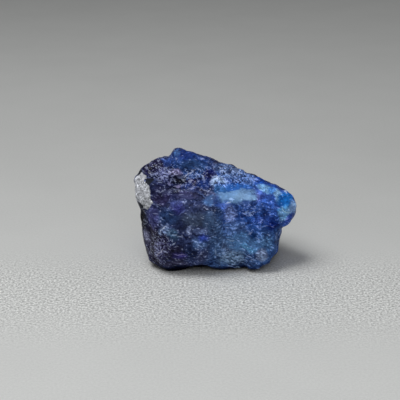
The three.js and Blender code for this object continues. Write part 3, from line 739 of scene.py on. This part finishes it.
def stone_material():
    """The colours and the gloss of the whole stone. Sizes in it are in millimetres."""
    material = bpy.data.materials.new("Afghanite")
    material.use_nodes = True
    tree = material.node_tree
    w = Wiring(tree)
    shader = tree.nodes["Principled BSDF"]
    zone, mottle, splinter = zone_group(SHADER), mottle_group(), splinter_group()

    def kept(name):
        """What the surface kept about each of its corners."""
        return w.node("ShaderNodeAttribute", attribute_name=name).outputs["Fac"]

    place = w.scaled(w.node("ShaderNodeTexCoord").outputs["Object"], 1 / MM)
    loose = placed(w, ragged_group(SHADER), place=place)
    bent = placed(w, ragged_group(SHADER), place=place, broad=0.9, fine=0.0)
    layered = placed(w, layered_group(), place=bent, flatness=2.0)
    glitter = kept("glitter")
    behind = w.ramp(kept("back"), 0.1, 0.45)

    # the tint: broad colours, the stains over them, and darker where the surface faces backwards
    first, second, third, fourth = [colour(code) for code in BACK_COLOURS]
    tint = w.mixed(w.ramp(w.noise(place, 5.5, detail=3.0), 0.42, 0.58), first, second)
    tint = w.mixed(w.ramp(w.noise(loose, 3.7, detail=2.0), 0.5, 0.64), tint, third)
    last = w.noise(w.vectors("ADD", loose, (7, 3, 5)), 3.1, detail=2.0)
    tint = w.mixed(w.ramp(last, 0.54, 0.66), tint, fourth)
    for *stain, code, softness, strength in STAINS:
        shown = shown_zone(w, zone, stain, loose, softness=softness, strength=strength)
        tint = w.mixed(shown, tint, colour(code))
    tint = w.mixed(w.maths("MULTIPLY", behind, BACK_FACING_STRENGTH), tint, colour(BACK_FACING_COLOUR))

    # the grain: calm in the clear stone and strong where there is glitter
    light = placed(
        w,
        mottle,
        place=place,
        layered_place=layered,
        streaks=w.maths("ADD", 3.0, glitter),
        crystals=w.between(glitter, 1.5, 1.8),
        chips=w.between(glitter, 0.9, 1.8),
        grain=w.between(glitter, 5.0, 13.0),
    )
    # painted light and shade: what stands out of the relief is lightened and what lies deep is darkened
    light = w.maths("MULTIPLY", light, w.ramp(kept("relief"), -0.12, 0.12, 0.6, 1.5, smooth=False))
    calm = 0.0
    for *each, strength in CALM:
        shown = shown_zone(w, zone, each, place, softness=SOFTNESS["calm"], strength=strength)
        calm = w.maths("MAXIMUM", calm, shown)
    light = w.maths("POWER", light, w.maths("SUBTRACT", 1.0, calm))
    # painted shade: the stone darkens towards the floor, nearly black at the rim of the foot
    light = w.maths("MULTIPLY", light, w.ramp(w.split(place)[2], 0.3, 1.5, 0.02, 1.0))
    rough = w.maths("MULTIPLY", glitter, w.maths("SUBTRACT", 1.0, calm))
    # painted shade: small patches darkened like shaded pits, the more where the stone is rough
    painted_pit_shade = w.ramp(w.noise(bent, 0.5, detail=2.0), 0.36, 0.44, w.ramp(rough, 0.0, 1.0, 0.85, 0.3), 1.0)
    light = w.maths("MULTIPLY", light, painted_pit_shade)
    for *splinter_set, left_light in DARK_SPLINTERS:
        dark = splinters(w, splinter, loose, rough, *splinter_set)
        light = w.maths("MULTIPLY", light, w.between(dark, 1.0, w.between(rough, *left_light)))
    # the blue of the stone stays longest where it is darkest
    body = shaded(w, tint, light, w.maths("MAXIMUM", light, w.maths("POWER", light, 0.8)))
    # painted highlight: the lightest spots of the grain are turned towards the pale glint colour
    body = w.mixed(w.ramp(light, 1.5, 3.0, 0.0, 0.4), body, colour(SPLINTER_GLINT_COLOUR))
    # bright splinters, pale crystals and painted glints both, are half the stone's own colour, much
    # lightened, and half their own
    painted_shine = w.mixed(0.5, shaded(w, tint, 3.5), colour(SPLINTER_GLINT_COLOUR))
    # how strongly the painted glints show: more with glitter, less on surfaces that face backwards
    clear = w.maths("MULTIPLY", w.between(glitter, 0.6, 0.85), w.between(behind, 1.0, 0.5))
    for *splinter_set, away in BRIGHT_SPLINTERS_AND_GLINTS:
        bright = splinters(w, splinter, w.vectors("ADD", place, away), rough, *splinter_set)
        body = w.mixed(w.maths("MULTIPLY", bright, clear), body, painted_shine)

    for *each, code in STREAKS:
        shown = shown_zone(w, zone, each, loose, softness=SOFTNESS["streak"], strength=STREAK_STRENGTH)
        body = w.mixed(shown, body, colour(code))

    # calcite and its chips
    sugar = placed(w, mottle, place=place, layered_place=layered, clouds=0.8, grain=6.0)
    for *each, code in CALCITE:
        shown = shown_zone(w, zone, each, loose, softness=SOFTNESS["calcite"])
        body = w.mixed(shown, body, shaded(w, colour(code), sugar))
    for each in CALCITE_CHIPS:
        shown = shown_zone(w, zone, each, loose, softness=SOFTNESS["chip"])
        body = w.mixed(shown, body, colour(CHIP_COLOUR))
    w.put(body, shader.inputs["Base Color"])

    # the gloss: fine faces that glint, and a polish where there is glitter
    gloss = w.ramp(w.noise(place, 0.8, detail=3.0), 0.35, 0.65, 0.5, 0.3)
    w.put(gloss, shader.inputs["Roughness"])
    glints = placed(w, glint_group(), place=place, size=0.32, glitter=w.ramp(glitter, 0.0, 1.0, 0.2, 1.6))
    bump = w.node("ShaderNodeBump", {"Strength": 1.0, "Distance": 0.08 * MM, "Height": glints})
    w.put(bump.outputs[0], shader.inputs["Normal"])
    polish = w.ramp(w.noise(place, 0.45, detail=1.0), 0.5, 0.6)
    w.put(w.maths("MULTIPLY", w.ramp(glitter, 0.0, 1.0, 0.05, 0.5), polish), shader.inputs["Coat Weight"])
    shader.inputs["Coat Roughness"].default_value = 0.12
    shader.inputs["IOR"].default_value = 1.5
    shader.inputs["Specular IOR Level"].default_value = 0.04
    return material


# --------------------------------------------------------- the pieces


def work_copy(node, name):
    """A copy of a CAD node's mesh as an object of its own, with its loose triangles joined up."""
    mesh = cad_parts[node].data.copy()
    mesh.name = name
    mesh.materials.clear()
    joined = bmesh.new()
    joined.from_mesh(mesh)
    bmesh.ops.remove_doubles(joined, verts=joined.verts, dist=JOIN_DISTANCE)
    joined.to_mesh(mesh)
    joined.free()
    piece = bpy.data.objects.new(name, mesh)
    bpy.context.scene.collection.objects.link(piece)
    return piece


def apply_modifiers(piece):
    """Turns what the modifiers of a piece make into its plain mesh."""
    bpy.context.view_layer.update()
    evaluated = piece.evaluated_get(bpy.context.evaluated_depsgraph_get())
    mesh = bpy.data.meshes.new_from_object(evaluated)
    mesh.name = piece.name
    piece.modifiers.clear()
    piece.data = mesh


def length_setting(name, size, description):
    """A property that holds a length."""
    return FloatProperty(name=name, description=description, default=size, subtype="DISTANCE", unit="LENGTH")


class StoneSettings(PropertyGroup):
    mesh_size: length_setting("Mesh Size", 0.13 * MM, "Size of the squares that the surface is made of")
    layer_spacing: length_setting("Layer Spacing", 0.62 * MM, "Distance from one thin layer to the next")
    layer_depth: length_setting("Layer Depth", 0.07 * MM, "How far the broken edge of a layer stands out")
    face_size: length_setting("Face Size", 1.7 * MM, "Size of the larger broken faces")
    face_height: length_setting("Face Height", 0.22 * MM, "How far the larger faces stand out")
    crystal_size: length_setting("Crystal Size", 0.6 * MM, "Size of the small crystals")
    crystal_height: length_setting("Crystal Height", 0.12 * MM, "How far the small crystals stand out")
    grain_size: length_setting("Grain Size", 0.3 * MM, "Size of the sugary grain")
    grain_height: length_setting("Grain Height", 0.03 * MM, "Height of the sugary grain")
    foot_fade: length_setting("Foot Fade", 0.5 * MM, "Height above the floor over which the relief fades in")
    foot_tuck: FloatProperty(
        name="Foot Tuck",
        description="By what share of its width the foot is drawn in where it meets the floor",
        default=0.02,
        min=0,
        max=0.3,
    )


class StageSettings(PropertyGroup):
    floor_colour: FloatVectorProperty(
        name="Floor Colour",
        description="Colour of the matt floor",
        default=(0.615, 0.625, 0.615),
        subtype="COLOR",
        size=3,
        min=0,
        max=1,
    )
    floor_width: length_setting("Floor Width", 1.6, "Width of the floor, which no view reaches past")
    camera_distance: length_setting("Camera Distance", 159 * MM, "Distance to what the camera looks at")
    camera_rise: FloatProperty(
        name="Camera Rise",
        description="Angle by which the camera looks down",
        default=math.radians(20),
        subtype="ANGLE",
        unit="ROTATION",
    )


class SPECIMEN_OT_stone(Operator):
    """Make the finished stone from the CAD solid"""

    bl_idname = "specimen.stone"
    bl_label = "Afghanite Stone"

    def execute(self, context):
        settings = context.scene.stone_settings
        stone = work_copy(STONE_NODE, "stone")
        remesh = stone.modifiers.new("Even mesh", "REMESH")
        remesh.mode = "VOXEL"
        remesh.voxel_size = settings.mesh_size
        smooth = stone.modifiers.new("Soft edges", "SMOOTH")
        smooth.factor = 0.5
        smooth.iterations = 6
        apply_modifiers(stone)
        tree = relief_tree()
        surface = stone.modifiers.new("Broken surface", "NODES")
        surface.node_group = tree
        values = {name: getattr(settings, name.lower().replace(" ", "_")) for name in SURFACE_SIZES}
        values["Material"] = stone_material()
        for socket in tree.interface.items_tree:
            if socket.item_type == "SOCKET" and socket.in_out == "INPUT" and socket.name in values:
                surface[socket.identifier] = values[socket.name]
        apply_modifiers(stone)
        stone.data.shade_smooth()
        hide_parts(STONE_NODE)
        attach(stone, BODY)
        return {"FINISHED"}


def floor_material(tone):
    """A matt floor with painted light, darker towards the back and the left, with its grain strongest before
    the stone.
    """
    material = bpy.data.materials.new("Matt floor")
    material.use_nodes = True
    w = Wiring(material.node_tree)
    shader = material.node_tree.nodes["Principled BSDF"]
    place = w.scaled(w.node("ShaderNodeTexCoord").outputs["Object"], 1 / MM)
    # painted light: lighter at the front, darker towards the back and the left, as the light falls off; where
    # each change begins and ends is in millimetres
    across, depth = w.split(place)[:2]
    near = w.ramp(depth, -60, 60, 1.12, 0.87)
    far = w.ramp(depth, 80, 200, 1.0, 0.95, smooth=False)
    light = w.maths("MULTIPLY", near, far)
    light = w.maths("MULTIPLY", light, w.ramp(across, -40, 50, 1.0, 1.08, smooth=False))
    speckle = w.maths("SUBTRACT", w.noise(place, 0.3, detail=2.0, roughness=0.8), HALF)
    coarseness = w.maths("MULTIPLY", w.ramp(depth, -10, 3.5, 3.0, 0.2), w.ramp(depth, -30, -15, 0.1, 1.0))
    grain = w.maths("ADD", 1.0, w.maths("MULTIPLY", speckle, coarseness))
    clouds = w.ramp(w.noise(place, 14.0, detail=2.0), 0.3, 0.7, 0.985, 1.015, smooth=False)
    light = w.maths("MULTIPLY", w.maths("MULTIPLY", light, grain), clouds)
    w.put(shaded(w, (*tone, 1), light), shader.inputs["Base Color"])
    shader.inputs["Roughness"].default_value = 0.8
    return material


# The lights: the place and the width of each in millimetres, and its power in watts.
LIGHTS = (
    ("softbox", (-90, -4, 230), 160, 0.3),
    ("sparkle", (-60, -4, 240), 50, 0.05),
    ("front fill", (10, -200, 180), 220, 0.12),
)
WORLD_STRENGTH = 0.18

# What the lights and the camera look at, in millimetres.
LIGHTS_AIM = (0, 0, 5)
CAMERA_AIM = (-2.1, -1.05, 8.5)


def area_light(name, place, width, power):
    """A round soft light that looks at the stone."""
    light = bpy.data.lights.new(name, "AREA")
    light.shape = "DISK"
    light.size = width * MM
    light.energy = power
    lamp = bpy.data.objects.new(name, light)
    lamp.location = [v * MM for v in place]
    look = (Vector(LIGHTS_AIM) - Vector(place)) * MM
    lamp.rotation_euler = look.to_track_quat("-Z", "Y").to_euler()
    bpy.context.scene.collection.objects.link(lamp)


class SPECIMEN_OT_stage(Operator):
    """Make the floor, the lights and the camera"""

    bl_idname = "specimen.stage"
    bl_label = "Studio"

    def execute(self, context):
        scene = context.scene
        settings = scene.stage_settings
        half = settings.floor_width / 2
        mesh = bpy.data.meshes.new("floor")
        corners = [(-half, -half, 0), (half, -half, 0), (half, half, 0), (-half, half, 0)]
        mesh.from_pydata(corners, [], [(0, 1, 2, 3)])
        floor = bpy.data.objects.new("floor", mesh)
        scene.collection.objects.link(floor)
        mesh.materials.append(floor_material(settings.floor_colour))

        world = bpy.data.worlds.new("Studio")
        world.use_nodes = True
        background = world.node_tree.nodes["Background"]
        background.inputs["Color"].default_value = (1, 1, 1, 1)
        background.inputs["Strength"].default_value = WORLD_STRENGTH
        scene.world = world
        for each in LIGHTS:
            area_light(*each)

        rise = settings.camera_rise
        back = Vector((0, -math.cos(rise), math.sin(rise)))
        camera = bpy.data.cameras.new("camera")
        camera.lens = 106
        camera.sensor_width = 36
        camera.clip_start = 5 * MM
        camera.clip_end = 10
        viewer = bpy.data.objects.new("camera", camera)
        viewer.location = Vector(CAMERA_AIM) * MM + back * settings.camera_distance
        viewer.rotation_euler = (-back).to_track_quat("-Z", "Y").to_euler()
        scene.collection.objects.link(viewer)
        scene.camera = viewer
        scene.view_settings.view_transform = "Standard"
        return {"FINISHED"}


class SPECIMEN_PT_panel(Panel):
    """The pieces of the specimen and their sizes"""

    bl_idname = "SPECIMEN_PT_panel"
    bl_label = "Afghanite Specimen"
    bl_space_type = "VIEW_3D"
    bl_region_type = "UI"
    bl_category = "Specimen"

    def draw(self, context):
        scene = context.scene
        for operator, settings in (
            (SPECIMEN_OT_stone, scene.stone_settings),
            (SPECIMEN_OT_stage, scene.stage_settings),
        ):
            box = self.layout.box()
            box.operator(operator.bl_idname)
            for name in settings.bl_rna.properties.keys():
                if name not in ("rna_type", "name"):
                    box.prop(settings, name)


CLASSES = (StoneSettings, StageSettings, SPECIMEN_OT_stone, SPECIMEN_OT_stage, SPECIMEN_PT_panel)


def register():
    for each in CLASSES:
        bpy.utils.register_class(each)
    bpy.types.Scene.stone_settings = PointerProperty(type=StoneSettings)
    bpy.types.Scene.stage_settings = PointerProperty(type=StageSettings)


def unregister():
    del bpy.types.Scene.stage_settings
    del bpy.types.Scene.stone_settings
    for each in reversed(CLASSES):
        bpy.utils.unregister_class(each)


def main():
    register()
    bpy.ops.specimen.stage()
    bpy.ops.specimen.stone()


if __name__ == "__main__":
    main()
